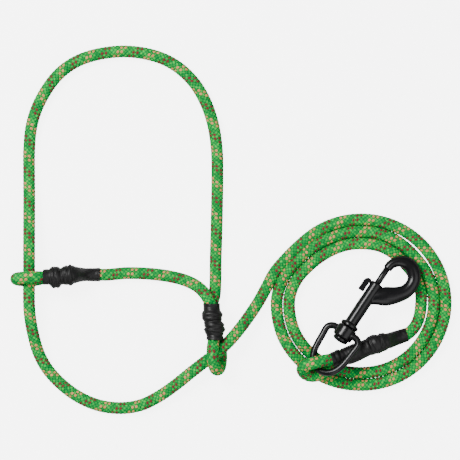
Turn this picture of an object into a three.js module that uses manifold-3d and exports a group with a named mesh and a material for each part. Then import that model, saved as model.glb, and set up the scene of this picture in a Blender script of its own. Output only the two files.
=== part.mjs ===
// Rope halter-lead: one braided rope forms the neck loop, the nose band, the chin strap and the lead.
// Three clamps hold its bights, each with two crimped rings under a shrink sleeve, and a bolt snap
// hangs in the last one. It lies flat, +Z up, +Y towards the crown, the lead coiled on the +X side.
// The origin is on the ground, in the middle of the halter without its lead.
import * as THREE from "three";
import { mergeVertices } from "three/addons/utils/BufferGeometryUtils.js";
import { ParametricGeometry } from "three/addons/geometries/ParametricGeometry.js";
import Module from "manifold-3d";

const wasm = await Module();
wasm.setup();

// Rope and clamps, in millimetres
const ropeDiameter = 9.5;
const ropeSides = 12;
const gap = 0.3; // between pieces that touch
const ropeRadius = ropeDiameter / 2;
const laidHeight = ropeRadius / Math.cos(Math.PI / ropeSides); // on the ground, however its section turns
const strandSpacing = ropeDiameter + gap; // between two strands side by side in a clamp
const ringWall = 2;
const ringLength = 7;
const clampClearance = 0.45; // rope to ring, and ring to sleeve
const sleeveWall = 0.8;
const ringBore = ropeRadius + clampClearance;
const ringOuter = ringBore + ringWall;
const sleeveOverRing = ringOuter + clampClearance;
const ringedHeight = sleeveOverRing + sleeveWall; // rope centre above the ground where a ring lies under it
const sleevedHeight = ringBore + sleeveWall; // the same under a sleeve alone

// Eyes: a bight runs round a rope with this much between the centrelines
const eyeReach = ropeDiameter + 0.9;
const threadedHeight = ropeRadius + eyeReach; // a rope that runs through an eye
const cheekX = -73.6; // the left cheek rope where the left eye slides on it

// Lead coil
const coilOuter = 74.4;
const coilWidth = 20.3;
const coilLeft = 123; // where the lead meets it
const coilInner = coilOuter - coilWidth;
const coilCentre = [coilLeft + coilOuter, -59.7];
const coilEndRadius = coilInner - ropeRadius - 2 * gap; // centreline of the part turn inside the ring

// Bolt snap, along its own axis from the collar behind the barrel (0) to the nose (+)
const snapHeight = 2 * ringedHeight + strandSpacing - 6.5; // its axis, just under the top of its clamp
const snapPlace = [187.8, -78, snapHeight];
const snapYaw = 56.3;
const snapPitch = 4.7; // nose down
const eyeRoll = 30; // the swivel eye is turned this far from the snap's own plane
const barrelRadius = 4.7;
const barrelFront = 41;
const collarRadius = 7;
const collarHalf = 1.4;
const rodRadius = 2.05;
const rodClearance = 0.3;
const boreRadius = rodRadius + rodClearance;
const boreBack = 5;
const rodBack = 28;
const hookTip = 56.4; // end face of the hook, which the rod closes
const socketDepth = 1.6;
const boltTravel = 13;
const tabAt = 39.2;
const tabThick = 2.6;
const tabReach = 10.4; // from the axis to the thumb pad's outer face
const padLength = 8.6;
const padThick = 2.4;
const springWire = 0.7;
const springTurns = 7;
const pinRadius = 2.6;
const pinInBarrel = 3.6;
const bossRadius = 8;
const bossFront = -2;
const bossBack = -12;
const rivetHeadRadius = 6.2;
const rivetHeadThick = 3.2;
const eyeWireRadius = 2.25;

const materials = {
  rope: { color: 0x1fa64a, roughness: 0.75, metalness: 0 },
  sleeve: { color: 0x1c1c1e, roughness: 0.45, metalness: 0 },
  ring: { color: 0x9c9ea2, roughness: 0.4, metalness: 0.9 },
  snap: { color: 0x141416, roughness: 0.35, metalness: 0.4 },
  spring: { color: 0xb5b7ba, roughness: 0.3, metalness: 1 },
};

const halter = new THREE.Group();

function addMesh(parent, name, geometry, look) {
  const mesh = new THREE.Mesh(geometry, new THREE.MeshStandardMaterial(materials[look]));
  mesh.name = name;
  parent.add(mesh);
  return mesh;
}

// Solids for cutting and joining

function toSolid(geometry) {
  const bare = geometry.clone();
  bare.deleteAttribute("normal");
  bare.deleteAttribute("uv");
  const merged = mergeVertices(bare, 1e-4);
  return new wasm.Manifold(
    new wasm.Mesh({
      numProp: 3,
      vertProperties: new Float32Array(merged.attributes.position.array),
      triVerts: new Uint32Array(merged.index.array),
    }),
  );
}

function fromSolid(solid) {
  const mesh = solid.getMesh();
  const geometry = new THREE.BufferGeometry();
  geometry.setAttribute("position", new THREE.BufferAttribute(mesh.vertProperties, 3));
  geometry.setIndex(new THREE.BufferAttribute(mesh.triVerts, 1));
  geometry.computeVertexNormals();
  return geometry;
}

// A solid of revolution about +X from [along, radius] points that close on themselves or on the axis
function turned(profile, sides) {
  const points = profile.map(([along, radius]) => new THREE.Vector2(radius, along));
  return new THREE.LatheGeometry(points, sides).rotateZ(-Math.PI / 2);
}

function rod(from, to, radius, sides) {
  return turned([[from, 0], [from, radius], [to, radius], [to, 0]], sides);
}

// Rope: a polygon with a flat underneath, swept along part of a route

class Stretch extends THREE.Curve {
  constructor(route, from, to) {
    super();
    this.route = route;
    this.from = from;
    this.to = to;
  }

  getPoint(t, target = new THREE.Vector3()) {
    return this.route.getPointAt(this.from + (this.to - this.from) * t, target);
  }
}

function roundSection(radius, sides) {
  const corner = radius / Math.cos(Math.PI / sides);
  const shape = new THREE.Shape();
  for (let i = 0; i < sides; i++) {
    const angle = ((i + 0.5) * 2 * Math.PI) / sides;
    const x = corner * Math.cos(angle);
    const y = corner * Math.sin(angle);
    if (i === 0) shape.moveTo(x, y);
    else shape.lineTo(x, y);
  }
  shape.closePath();
  return shape;
}

function sweep(curve, radius, sides, steps) {
  return new THREE.ExtrudeGeometry(roundSection(radius, sides), { extrudePath: curve, steps });
}

function routeThrough(points) {
  const vectors = points.map((p) => new THREE.Vector3(...p));
  const route = new THREE.CatmullRomCurve3(vectors, false, "centripetal");
  route.arcLengthDivisions = 4000;
  return route;
}

// Share of a route's length at its point number index
function shareAt(route, index) {
  const lengths = route.getLengths();
  const t = index / (route.points.length - 1);
  return lengths[Math.round(t * (lengths.length - 1))] / lengths.at(-1);
}

// One node for each stretch of a rope; neighbours keep a gap at the face where they meet
function addRope(stretches) {
  const route = routeThrough(stretches.flatMap((s) => s.points));
  const trim = gap / 2 / route.getLength();
  let index = -1;
  let from = 0;
  for (const { name, steps, points } of stretches) {
    index += points.length;
    const to = shareAt(route, index);
    const curve = new Stretch(route, from + trim, to - trim);
    addMesh(halter, name, sweep(curve, ropeRadius, ropeSides, steps), "rope");
    from = to;
  }
}

// Clamps

const leftClamp = {
  ends: [-62.1, -15.8],
  rings: [-52.5, -40.6],
  y: [-38.7, -38.6, -37.7, -36.8],
  freeEnd: -35.2,
};
const rightClamp = {
  top: [75.2, -60.3],
  bottom: [78, -89.8],
  side: 0.9, // each strand's offset to its own side
};
const lowStrand = ringedHeight;
const highStrand = ringedHeight + strandSpacing;

// The halter's rope, from its cut end in the left clamp to the coil
const halterRope = [
  {
    name: "left_eye_rope",
    steps: 46,
    points: [
      [leftClamp.freeEnd, leftClamp.y[2], highStrand],
      [leftClamp.rings[0] - 4, leftClamp.y[1], highStrand],
      [leftClamp.ends[0], leftClamp.y[0], highStrand + 2.6],
      [-67.5, -38.6, threadedHeight + eyeReach - 0.9],
      [cheekX, -38.6, threadedHeight + eyeReach],
      [cheekX - 0.7 * eyeReach, -39.2, threadedHeight + 0.714 * eyeReach],
      [cheekX - eyeReach, -40.2, threadedHeight],
      [cheekX - 0.7 * eyeReach, -41.2, threadedHeight - 0.714 * eyeReach],
      [cheekX, -41.6, laidHeight + 0.1],
      [-67.5, -40.9, laidHeight + 0.7],
      [leftClamp.ends[0], -39.6, sleevedHeight + 0.8],
      [leftClamp.rings[0] - 4, leftClamp.y[1], lowStrand],
      [leftClamp.freeEnd, leftClamp.y[2], lowStrand],
      [-29, -37.1, sleevedHeight + 0.8],
      [-22, leftClamp.y[3], sleevedHeight],
      [leftClamp.ends[1], leftClamp.y[3], sleevedHeight],
    ],
  },
  {
    name: "noseband_rope",
    steps: 16,
    points: [
      [-9.5, -36.8, sleevedHeight],
      [-2, -36.1, laidHeight + 0.1],
      [6, -35.5, laidHeight],
      [22, -35.9, laidHeight],
      [40, -38, laidHeight + 0.7],
      [54.6, -41.7, ropeRadius + 3.25],
      [64.4, -46.8, highStrand - 6.25],
      [70.6, -53.2, highStrand - 2.35],
      [rightClamp.top[0] - rightClamp.side, rightClamp.top[1], highStrand - 0.6],
    ],
  },
  {
    name: "right_eye_rope",
    steps: 44,
    points: [
      [74.7, -65, highStrand],
      [76.7, -85.4, highStrand],
      [rightClamp.bottom[0] - rightClamp.side, rightClamp.bottom[1], highStrand + 0.6],
      [76.4, -95.6, threadedHeight + eyeReach - 2.4],
      [76.2, -101.6, threadedHeight + eyeReach],
      [76.8, -107.8, threadedHeight + 0.84 * eyeReach],
      [78.4, -112.9, threadedHeight + 0.48 * eyeReach],
      [80.2, -114.2, threadedHeight],
      [82, -112.8, threadedHeight - 0.48 * eyeReach],
      [83, -107.6, threadedHeight - 0.86 * eyeReach],
      [83.2, -101.4, laidHeight],
      [81.6, -95.4, laidHeight + 0.5],
      [rightClamp.bottom[0] + rightClamp.side, rightClamp.bottom[1], lowStrand - 1.3],
      [78.5, -85.4, lowStrand],
      [76.5, -65, lowStrand],
      [rightClamp.top[0] + rightClamp.side, rightClamp.top[1], lowStrand - 1],
    ],
  },
  {
    name: "right_cheek_rope",
    steps: 11,
    points: [
      [77.8, -53.5, ropeRadius + 1.65],
      [78.5, -42, ropeRadius + 0.25],
      [78.7, -23.9, laidHeight],
      [79.4, -0.2, laidHeight],
      [79.8, 20.3, laidHeight],
      [80.1, 44.1, laidHeight],
      [79.5, 67.1, laidHeight],
      [76.2, 87.6, laidHeight],
    ],
  },
  {
    name: "crown_rope",
    steps: 18,
    points: [
      [69.9, 105.6, ropeRadius],
      [60.6, 120.9, ropeRadius],
      [46.1, 134.3, ropeRadius],
      [28.6, 142.4, ropeRadius],
      [4.1, 146, ropeRadius],
      [-20.6, 143, ropeRadius],
      [-38.1, 136.2, ropeRadius],
      [-52.2, 124.8, ropeRadius],
      [-65.6, 104.2, ropeRadius],
    ],
  },
  {
    name: "left_cheek_rope",
    steps: 18,
    points: [
      [-71.9, 85.8, laidHeight],
      [-74, 66, laidHeight],
      [-74.1, 46, laidHeight],
      [-73.9, 28, ropeRadius + 2.25],
      [-73.7, 9, threadedHeight - 3.55],
      [cheekX, -7, threadedHeight - 0.65],
      [cheekX, -17, threadedHeight],
      [cheekX, -38.6, threadedHeight],
      [cheekX, -60, threadedHeight],
      [-73, -69.5, threadedHeight - 0.65],
    ],
  },
  {
    name: "chin_rope",
    steps: 24,
    points: [
      [-70.6, -84.5, threadedHeight - 3.55],
      [-65.8, -101.6, ropeRadius + 2.65],
      [-58.6, -114.6, laidHeight + 0.5],
      [-47.7, -126.4, laidHeight],
      [-33.2, -137, laidHeight],
      [-16.4, -143.9, laidHeight],
      [1.5, -146, laidHeight],
      [17.5, -143.5, laidHeight],
      [31.7, -136.7, laidHeight + 0.6],
      [46.1, -126.7, ropeRadius + 3.45],
      [58.4, -116.7, threadedHeight - 3.35],
      [69, -108.4, threadedHeight - 0.75],
      [79.7, -100.4, threadedHeight],
      [85.6, -95, threadedHeight - 0.15],
    ],
  },
  {
    name: "lead_rope",
    steps: 9,
    points: [
      [90.1, -90.6, threadedHeight - 0.95],
      [98.6, -80.6, threadedHeight - 3.15],
      [107, -69.2, ropeRadius + 3.45],
      [113.8, -58.9, laidHeight + 0.5],
      [119, -49, laidHeight],
    ],
  },
];

// The lead's last part turn, inside the coil, and its bight through the swivel eye
const partTurn = [-25, -5, 15, 35, 55, 75, 92].map((degrees) => {
  const angle = Math.PI / 2 - THREE.MathUtils.degToRad(degrees);
  return [
    coilCentre[0] + coilEndRadius * Math.cos(angle),
    coilCentre[1] + coilEndRadius * Math.sin(angle),
    laidHeight,
  ];
});
const snapClamp = {
  right: [235.1, -86.7],
  left: [172.4, -105.8],
  rings: [0.34, 0.69], // shares of the way from right to left
  leftEnd: 0.955,
  side: 0.5,
};
const clampRun = new THREE.Vector2(...snapClamp.left).sub(new THREE.Vector2(...snapClamp.right));
const clampSide = new THREE.Vector2(clampRun.y, -clampRun.x).normalize(); // towards the crown side

// A point in the snap's clamp: share of its length, offset to the crown side, height
function inSnapClamp(share, side, z) {
  return [
    snapClamp.right[0] + clampRun.x * share + clampSide.x * side,
    snapClamp.right[1] + clampRun.y * share + clampSide.y * side,
    z,
  ];
}

const underEye = snapHeight - ropeRadius; // the bight's two strands, below and above the snap's axis
const overEye = snapHeight + ropeRadius;
const leadEnd = [
  {
    name: "lead_end_rope",
    steps: 18,
    points: [
      ...partTurn,
      [245.6, -70, laidHeight],
      [241.8, -79.4, laidHeight + 0.5],
      inSnapClamp(0, 0, sleevedHeight),
    ],
  },
  {
    name: "snap_loop_rope",
    steps: 50,
    points: [
      inSnapClamp(0.12, 0, sleevedHeight + 0.2),
      inSnapClamp(0.28, -snapClamp.side, lowStrand),
      inSnapClamp(0.4, -snapClamp.side, lowStrand),
      inSnapClamp(0.52, -snapClamp.side, sleevedHeight + 1),
      inSnapClamp(0.64, -snapClamp.side, lowStrand),
      inSnapClamp(0.79, -snapClamp.side, lowStrand),
      inSnapClamp(snapClamp.leftEnd, -1, lowStrand + 3.3),
      [171.4, -108.6, underEye - 1.35],
      [167.4, -114.2, underEye - 0.55],
      [162.4, -118.4, underEye - 0.65],
      [156.4, -119.3, underEye - 0.25],
      [151.4, -117.2, snapHeight - 2.6],
      [149.4, -113.6, snapHeight + 1.4],
      [151.6, -110.4, overEye + 0.85],
      [157, -108.6, overEye + 2.95],
      [164.2, -107, overEye + 2.35],
      inSnapClamp(snapClamp.leftEnd, 0, highStrand + 3.6),
      inSnapClamp(0.79, snapClamp.side, highStrand),
      inSnapClamp(0.64, snapClamp.side, highStrand),
      inSnapClamp(0.52, snapClamp.side, sleevedHeight + strandSpacing + 1.2),
      inSnapClamp(0.4, snapClamp.side, highStrand),
      inSnapClamp(0.25, snapClamp.side, highStrand),
    ],
  },
];

addRope(halterRope);
addRope(leadEnd);

// A ring of the coil's outer shape, its rims rounded like the rope
function addCoil() {
  const points = [];
  const rims = [
    [coilOuter - ropeRadius, 0],
    [coilInner + ropeRadius, 180],
  ];
  for (const [radius, middle] of rims) {
    for (let degrees = middle - 90; degrees <= middle + 90; degrees += 45) {
      const angle = THREE.MathUtils.degToRad(degrees);
      points.push(
        new THREE.Vector2(radius + ropeRadius * Math.cos(angle), ropeRadius * (1 + Math.sin(angle))),
      );
    }
  }
  points.push(points[0].clone());
  const ring = new THREE.LatheGeometry(points, 48).rotateX(Math.PI / 2);
  addMesh(halter, "lead_coil", ring, "rope").position.set(...coilCentre, 0);
}
addCoil();

// Clamp sleeves: a shell with open ends round one or two strands.
// A station is {low, high, over}: the two strands' centres and how far the shell stands off the rope.
const aroundSleeve = 18;

function sleeveShell(stations, axis) {
  const forward = new THREE.Vector3(...axis).normalize();
  const ring = stations.map(({ low, high, over }) => {
    const a = new THREE.Vector3(...low);
    const b = new THREE.Vector3(...high);
    const centre = a.clone().add(b).multiplyScalar(0.5);
    const half = b.sub(a).multiplyScalar(0.5);
    return { centre, half, inner: ropeRadius + over };
  });
  const widest = ring.reduce((best, r) => (r.half.length() > best.half.length() ? r : best)).half;
  const up = widest.clone().addScaledVector(forward, -widest.dot(forward)).normalize();
  const side = new THREE.Vector3().crossVectors(forward, up);
  const loops = [
    ...ring.map((r) => ({ ...r, radius: r.inner })),
    ...ring.map((r) => ({ ...r, radius: r.inner + sleeveWall })).reverse(),
  ];
  return new ParametricGeometry(
    (u, v, target) => {
      const row = Math.round(v * loops.length) % loops.length;
      const { centre, half, radius } = loops[row];
      const angle = (Math.round(u * aroundSleeve) + 0.5) * ((2 * Math.PI) / aroundSleeve);
      target
        .copy(centre)
        .addScaledVector(side, radius * Math.cos(angle))
        .addScaledVector(up, radius * Math.sin(angle))
        .addScaledVector(half, Math.sign(Math.sin(angle)));
    },
    aroundSleeve,
    loops.length,
  );
}

function clampStations(rows) {
  return rows.map(([low, high, over]) => ({ low, high, over }));
}

function crimpRing(name, low, high, axis) {
  const a = new THREE.Vector3(...low);
  const b = new THREE.Vector3(...high);
  const half = b.distanceTo(a) / 2;
  const outline = (radius) => {
    const path = new THREE.Path();
    path.absarc(0, half, radius, 0, Math.PI, false);
    path.absarc(0, -half, radius, Math.PI, 2 * Math.PI, false);
    path.closePath();
    return path;
  };
  const shape = new THREE.Shape(outline(ringOuter).getPoints(6));
  shape.holes.push(new THREE.Path(outline(ringBore).getPoints(6)));
  const geometry = new THREE.ExtrudeGeometry(shape, { depth: ringLength, bevelEnabled: false });
  geometry.translate(0, 0, -ringLength / 2);
  const mesh = addMesh(halter, name, geometry, "ring");
  const forward = new THREE.Vector3(...axis).normalize();
  const up = b.clone().sub(a).addScaledVector(forward, -b.clone().sub(a).dot(forward)).normalize();
  const side = new THREE.Vector3().crossVectors(up, forward);
  mesh.quaternion.setFromRotationMatrix(new THREE.Matrix4().makeBasis(side, up, forward));
  mesh.position.copy(a.add(b).multiplyScalar(0.5));
}

const overRope = clampClearance;
const overRing = sleeveOverRing - ropeRadius;
const ringShoulder = ringLength / 2 + 1.6; // from a ring's middle to where its bulge ends

function addLeftClamp() {
  const { ends, rings, y, freeEnd } = leftClamp;
  const slope = (y[2] - y[1]) / (freeEnd - rings[0] + 4);
  const yAt = (x) => y[1] + slope * (x - rings[0] + 4);
  const pair = (x, over, lift = 0) => [
    [x, yAt(x), lowStrand - lift],
    [x, yAt(x), highStrand + lift * 0.4],
    over,
  ];
  const flat = ringLength / 2 + clampClearance;
  const tail = (x, z, over, spread = 0) => [[x, y[3], z], [x, y[3], z + spread], over];
  const rows = [
    [[ends[0], -39.2, sleevedHeight + 1], [ends[0], -38.9, highStrand + 2.8], overRope + 0.9],
    [[ends[0] + 3.2, -38.8, lowStrand - 1], [ends[0] + 3.2, -38.6, highStrand + 1.2], overRope + 0.5],
    pair(rings[0] - flat, overRing),
    pair(rings[0] + flat, overRing),
    pair(rings[1] - flat, overRing),
    pair(rings[1] + flat, overRing),
    [[freeEnd + 1.6, -37.5, lowStrand - 0.9], [freeEnd + 1.6, -37.5, highStrand - 1], overRope + 0.5],
    [[freeEnd + 6, -37, sleevedHeight + 0.7], [freeEnd + 6, -37, sleevedHeight + 5], overRope + 0.5],
    tail(ends[1] - 7, sleevedHeight, overRope, 0.4),
    tail(ends[1] - 0.2, sleevedHeight, overRope, 0.1),
  ];
  const waist = (rings[0] + rings[1]) / 2;
  rows.splice(4, 0, pair(waist, overRope + 0.9));
  addMesh(halter, "left_shrink_sleeve", sleeveShell(clampStations(rows), [1, 0, 0]), "sleeve");
  const names = ["left_outer_crimp_ring", "left_inner_crimp_ring"];
  names.forEach((name, i) => {
    const place = (z) => [rings[i], yAt(rings[i]), z];
    crimpRing(name, place(lowStrand), place(highStrand), [1, slope, 0]);
  });
}
addLeftClamp();

function addRightClamp() {
  const { top, bottom, side } = rightClamp;
  const axis = [bottom[0] - top[0], bottom[1] - top[1], 0];
  const at = (share, offset, z) => [top[0] + axis[0] * share + offset, top[1] + axis[1] * share, z];
  const pair = (share, over, drop = 0) => [
    at(share, side, lowStrand - drop),
    at(share, -side, highStrand - drop * 0.5),
    over,
  ];
  const length = Math.hypot(axis[0], axis[1]);
  const rings = [0.32, 0.67];
  const flat = (ringLength / 2 + clampClearance) / length;
  const rows = [
    pair(0.005, overRope + 0.2, 1),
    pair(rings[0] - ringShoulder / length, overRope + 0.2, 0.4),
    pair(rings[0] - flat, overRing),
    pair(rings[0] + flat, overRing),
    pair((rings[0] + rings[1]) / 2, overRope + 0.9),
    pair(rings[1] - flat, overRing),
    pair(rings[1] + flat, overRing),
    pair(rings[1] + ringShoulder / length, overRope + 0.3, 0.3),
    [at(0.995, side, lowStrand - 1.2), at(0.995, -side, highStrand + 0.6), overRope + 0.8],
  ];
  addMesh(halter, "right_shrink_sleeve", sleeveShell(clampStations(rows), axis), "sleeve");
  const names = ["right_upper_crimp_ring", "right_lower_crimp_ring"];
  names.forEach((name, i) => {
    crimpRing(name, at(rings[i], side, lowStrand), at(rings[i], -side, highStrand), axis);
  });
}
addRightClamp();

function addSnapClamp() {
  const { side, rings, leftEnd } = snapClamp;
  const pair = (share, over, low = lowStrand, high = highStrand) => [
    inSnapClamp(share, -side, low),
    inSnapClamp(share, side, high),
    over,
  ];
  const length = clampRun.length();
  const flat = (ringLength / 2 + clampClearance) / length;
  const waist = sleevedHeight + 1;
  const rows = [
    [inSnapClamp(0.005, 0, sleevedHeight + 0.1), inSnapClamp(0.005, 0, sleevedHeight + 0.4), overRope],
    [inSnapClamp(0.13, -0.2, sleevedHeight + 0.2), inSnapClamp(0.13, 0.2, sleevedHeight + 1), overRope + 0.3],
    pair(0.235, overRope + 0.6, lowStrand - 1, highStrand - 0.6),
    pair(rings[0] - flat, overRing),
    pair(rings[0] + flat, overRing),
    pair((rings[0] + rings[1]) / 2, overRope + 0.6, waist + 0.2, waist + strandSpacing + 0.2),
    pair(rings[1] - flat, overRing),
    pair(rings[1] + flat, overRing),
    pair(rings[1] + 1.8 * flat, overRope + 0.9, lowStrand + 0.3, highStrand + 0.3),
    [inSnapClamp(leftEnd, -0.8, lowStrand + 3.4), inSnapClamp(leftEnd, 0, highStrand + 3.6), overRope + 0.7],
  ];
  const axis = [clampRun.x, clampRun.y, 0];
  addMesh(halter, "snap_shrink_sleeve", sleeveShell(clampStations(rows), axis), "sleeve");
  const names = ["snap_outer_crimp_ring", "snap_inner_crimp_ring"];
  names.forEach((name, i) => {
    crimpRing(name, inSnapClamp(rings[i], -side, lowStrand), inSnapClamp(rings[i], side, highStrand), axis);
  });
}
addSnapClamp();

// Bolt snap

const snap = new THREE.Group();
snap.position.set(...snapPlace);
snap.rotation.set(0, THREE.MathUtils.degToRad(snapPitch), THREE.MathUtils.degToRad(snapYaw), "ZYX");
halter.add(snap);

// Hook from the barrel round to the tip: [along, out to the right, half width, half thickness]
const hookStations = [
  [27.5, 1.5, 3.2, 3.2],
  [31.5, 6, 6, 4.4],
  [36, 11.4, 6.9, 4.6],
  [41.8, 18.2, 6.2, 4.5],
  [48, 22.8, 5.5, 4.4],
  [54.3, 24.4, 5, 4.3],
  [59.9, 23.6, 4.6, 4.3],
  [64.2, 21, 4.6, 4.3],
  [67.9, 16.6, 5, 4.3],
  [69, 10.6, 5.1, 4.2],
  [66.8, 5.2, 4.4, 4],
  [63.2, 2, 3.7, 3.7],
  [59.6, 0.6, 3.1, 3.2],
  [hookTip, 0.2, 2.9, 3],
];
const aroundHook = 14;
const alongHook = 26;

function hookSolid() {
  const line = new THREE.CatmullRomCurve3(hookStations.map(([x, p]) => new THREE.Vector3(x, -p, 0)));
  const sizes = new THREE.CatmullRomCurve3(hookStations.map(([, , w, t]) => new THREE.Vector3(w, t, 0)));
  const up = new THREE.Vector3(0, 0, 1);
  const body = new ParametricGeometry(
    (u, v, target) => {
      const inside = THREE.MathUtils.clamp((v * (alongHook + 2) - 1) / alongHook, 0, 1);
      const size = v === 0 || v === 1 ? new THREE.Vector3() : sizes.getPoint(inside);
      const out = new THREE.Vector3().crossVectors(line.getTangent(inside), up).normalize();
      const angle = u * 2 * Math.PI;
      line
        .getPoint(inside, target)
        .addScaledVector(out, -size.x * Math.cos(angle))
        .addScaledVector(up, size.y * Math.sin(angle));
    },
    aroundHook,
    alongHook + 2,
  );
  return toSolid(body);
}

function barrelSolid() {
  const front = barrelFront;
  return toSolid(
    turned(
      [
        [-collarHalf, 0],
        [-collarHalf, collarRadius - 0.6],
        [-collarHalf + 0.6, collarRadius],
        [collarHalf - 0.6, collarRadius],
        [collarHalf, collarRadius - 0.6],
        [collarHalf + 0.6, barrelRadius - 0.3],
        [6, barrelRadius],
        [front - 1, barrelRadius + 0.3],
        [front, barrelRadius - 0.4],
        [front, 0],
      ],
      20,
    ),
  );
}

function addSnapBody() {
  const bore = toSolid(rod(boreBack, barrelFront + 1, boreRadius, 16));
  const pinHole = toSolid(rod(-collarHalf - 1, pinInBarrel + gap, pinRadius + gap, 16));
  const socket = toSolid(rod(hookTip - 1, hookTip + socketDepth, boreRadius, 16));
  const slotLength = boltTravel + tabThick + 2 * gap;
  const slotCut = new THREE.BoxGeometry(slotLength, barrelRadius * 2, tabThick + 2 * gap);
  slotCut.translate(tabAt + tabThick / 2 + gap - slotLength / 2, barrelRadius, 0);
  const body = barrelSolid()
    .add(hookSolid())
    .subtract(bore)
    .subtract(pinHole)
    .subtract(socket)
    .subtract(toSolid(slotCut));
  addMesh(snap, "snap_body", fromSolid(body), "snap");
}
addSnapBody();

function addBolt() {
  const end = hookTip + socketDepth - gap;
  const hole = new THREE.CylinderGeometry(1, 1, rodRadius * 4, 12).translate(tabAt, 0, 0);
  const rodShape = toSolid(
    turned([[rodBack, 0], [rodBack, rodRadius], [end - 0.6, rodRadius], [end, rodRadius - 0.6], [end, 0]], 14),
  );
  addMesh(snap, "bolt_rod", fromSolid(rodShape.subtract(toSolid(hole))), "snap");
  // The tab's stem stands in the rod's cross hole; above the barrel it bends back into a ribbed pad
  const stem = new THREE.CylinderGeometry(0.7, 0.7, rodRadius * 2 + 0.6, 10).translate(tabAt, 0.3, 0);
  const post = new THREE.BoxGeometry(tabThick, tabReach - rodRadius - gap, tabThick);
  post.translate(tabAt, (tabReach + rodRadius + gap) / 2, 0);
  const pad = new THREE.BoxGeometry(padLength, padThick, 6.4);
  pad.translate(tabAt + tabThick / 2 - padLength / 2, tabReach - padThick / 2, 0);
  const lip = new THREE.BoxGeometry(padThick, 3.6, 6.4);
  lip.translate(tabAt + tabThick / 2 - padLength + padThick / 2, tabReach - 1.8, 0);
  let tab = toSolid(stem).add(toSolid(post)).add(toSolid(pad)).add(toSolid(lip));
  for (let i = 0; i < 4; i++) {
    const rib = new THREE.BoxGeometry(0.8, 1, 6.4);
    rib.translate(tabAt - padLength + 3.4 + i * 1.7, tabReach + 0.2, 0);
    tab = tab.add(toSolid(rib));
  }
  addMesh(snap, "thumb_tab", fromSolid(tab), "snap");
}
addBolt();

function addSpring() {
  const from = boreBack + gap + springWire / 2;
  const length = rodBack - gap - springWire / 2 - from;
  const radius = boreRadius - gap - springWire / 2;
  const points = [];
  const perTurn = 8;
  for (let i = 0; i <= springTurns * perTurn; i++) {
    const angle = (i / perTurn) * 2 * Math.PI;
    const along = from + (length * i) / (springTurns * perTurn);
    points.push(new THREE.Vector3(along, radius * Math.cos(angle), radius * Math.sin(angle)));
  }
  const curve = new THREE.CatmullRomCurve3(points);
  addMesh(snap, "bolt_spring", sweep(curve, springWire / 2, 5, springTurns * 8), "spring");
}
addSpring();

function addRivet() {
  const headFront = bossBack - gap;
  const headBack = headFront - rivetHeadThick;
  const profile = [
    [headBack, 0],
    [headBack, rivetHeadRadius - 1.6],
    [headBack + 1.2, rivetHeadRadius],
    [headFront, rivetHeadRadius],
    [headFront, pinRadius],
    [pinInBarrel, pinRadius],
    [pinInBarrel, 0],
  ];
  addMesh(snap, "swivel_rivet", turned(profile, 18), "snap");
}
addRivet();

// Swivel eye: a boss that turns on the rivet, and a bowed wire; half the wire as [along, to the side]
const eyeWire = [
  [-7, 5],
  [-6.6, 12],
  [-9.6, 16.2],
  [-18, 16.2],
  [-33, 14.2],
  [-40, 10],
  [-43.6, 3.6],
];

function addSwivelEye() {
  const points = [...eyeWire, ...eyeWire.map(([x, y]) => [x, -y]).reverse()];
  const curve = new THREE.CatmullRomCurve3(
    points.map(([x, y]) => new THREE.Vector3(x, y, 0)),
    false,
    "centripetal",
  );
  const boss = turned(
    [
      [bossBack, 0],
      [bossBack, bossRadius - 1],
      [bossBack + 1, bossRadius],
      [bossFront - 1, bossRadius],
      [bossFront, bossRadius - 1],
      [bossFront, 0],
    ],
    20,
  );
  const hole = rod(bossBack - 1, bossFront + 1, pinRadius + gap, 18);
  const solid = toSolid(boss)
    .add(toSolid(sweep(curve, eyeWireRadius, 10, 32)))
    .subtract(toSolid(hole));
  const mesh = addMesh(snap, "swivel_eye", fromSolid(solid), "snap");
  mesh.rotation.x = -THREE.MathUtils.degToRad(eyeRoll);
}
addSwivelEye();

export default halter;
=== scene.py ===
import math
import bpy
import numpy as np
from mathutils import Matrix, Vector


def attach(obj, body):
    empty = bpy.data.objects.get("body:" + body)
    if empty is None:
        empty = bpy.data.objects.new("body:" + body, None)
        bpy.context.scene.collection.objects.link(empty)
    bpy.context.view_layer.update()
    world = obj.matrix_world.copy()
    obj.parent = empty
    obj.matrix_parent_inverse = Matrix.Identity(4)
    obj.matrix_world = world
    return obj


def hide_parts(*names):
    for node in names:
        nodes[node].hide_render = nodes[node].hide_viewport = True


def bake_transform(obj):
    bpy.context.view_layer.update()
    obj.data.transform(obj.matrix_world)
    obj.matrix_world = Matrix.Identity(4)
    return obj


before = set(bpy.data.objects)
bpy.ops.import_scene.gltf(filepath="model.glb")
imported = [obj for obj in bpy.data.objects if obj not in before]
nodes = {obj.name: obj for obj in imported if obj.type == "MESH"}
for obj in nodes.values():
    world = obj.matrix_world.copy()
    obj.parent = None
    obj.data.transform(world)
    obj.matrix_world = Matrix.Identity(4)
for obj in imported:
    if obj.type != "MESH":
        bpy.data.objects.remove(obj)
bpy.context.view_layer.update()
mm = 0.001
print("frame loaded")


def intoScene(thing):
    bpy.context.scene.collection.objects.link(thing)
    return thing


# camera straight above, far enough back that height hardly shifts anything
view = {"aim": (0.0904, -0.0002), "width": 0.3772, "distance": 3.2, "lens": 100}
cameraData = bpy.data.cameras.new("camera")
cameraData.lens = view["lens"]
cameraData.sensor_width = view["lens"] * view["width"] / view["distance"]
cameraData.clip_end = 20
camera = intoScene(bpy.data.objects.new("camera", cameraData))
camera.location = (*view["aim"], view["distance"])
bpy.context.scene.camera = camera
print("camera set")


# mesh helpers

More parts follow.
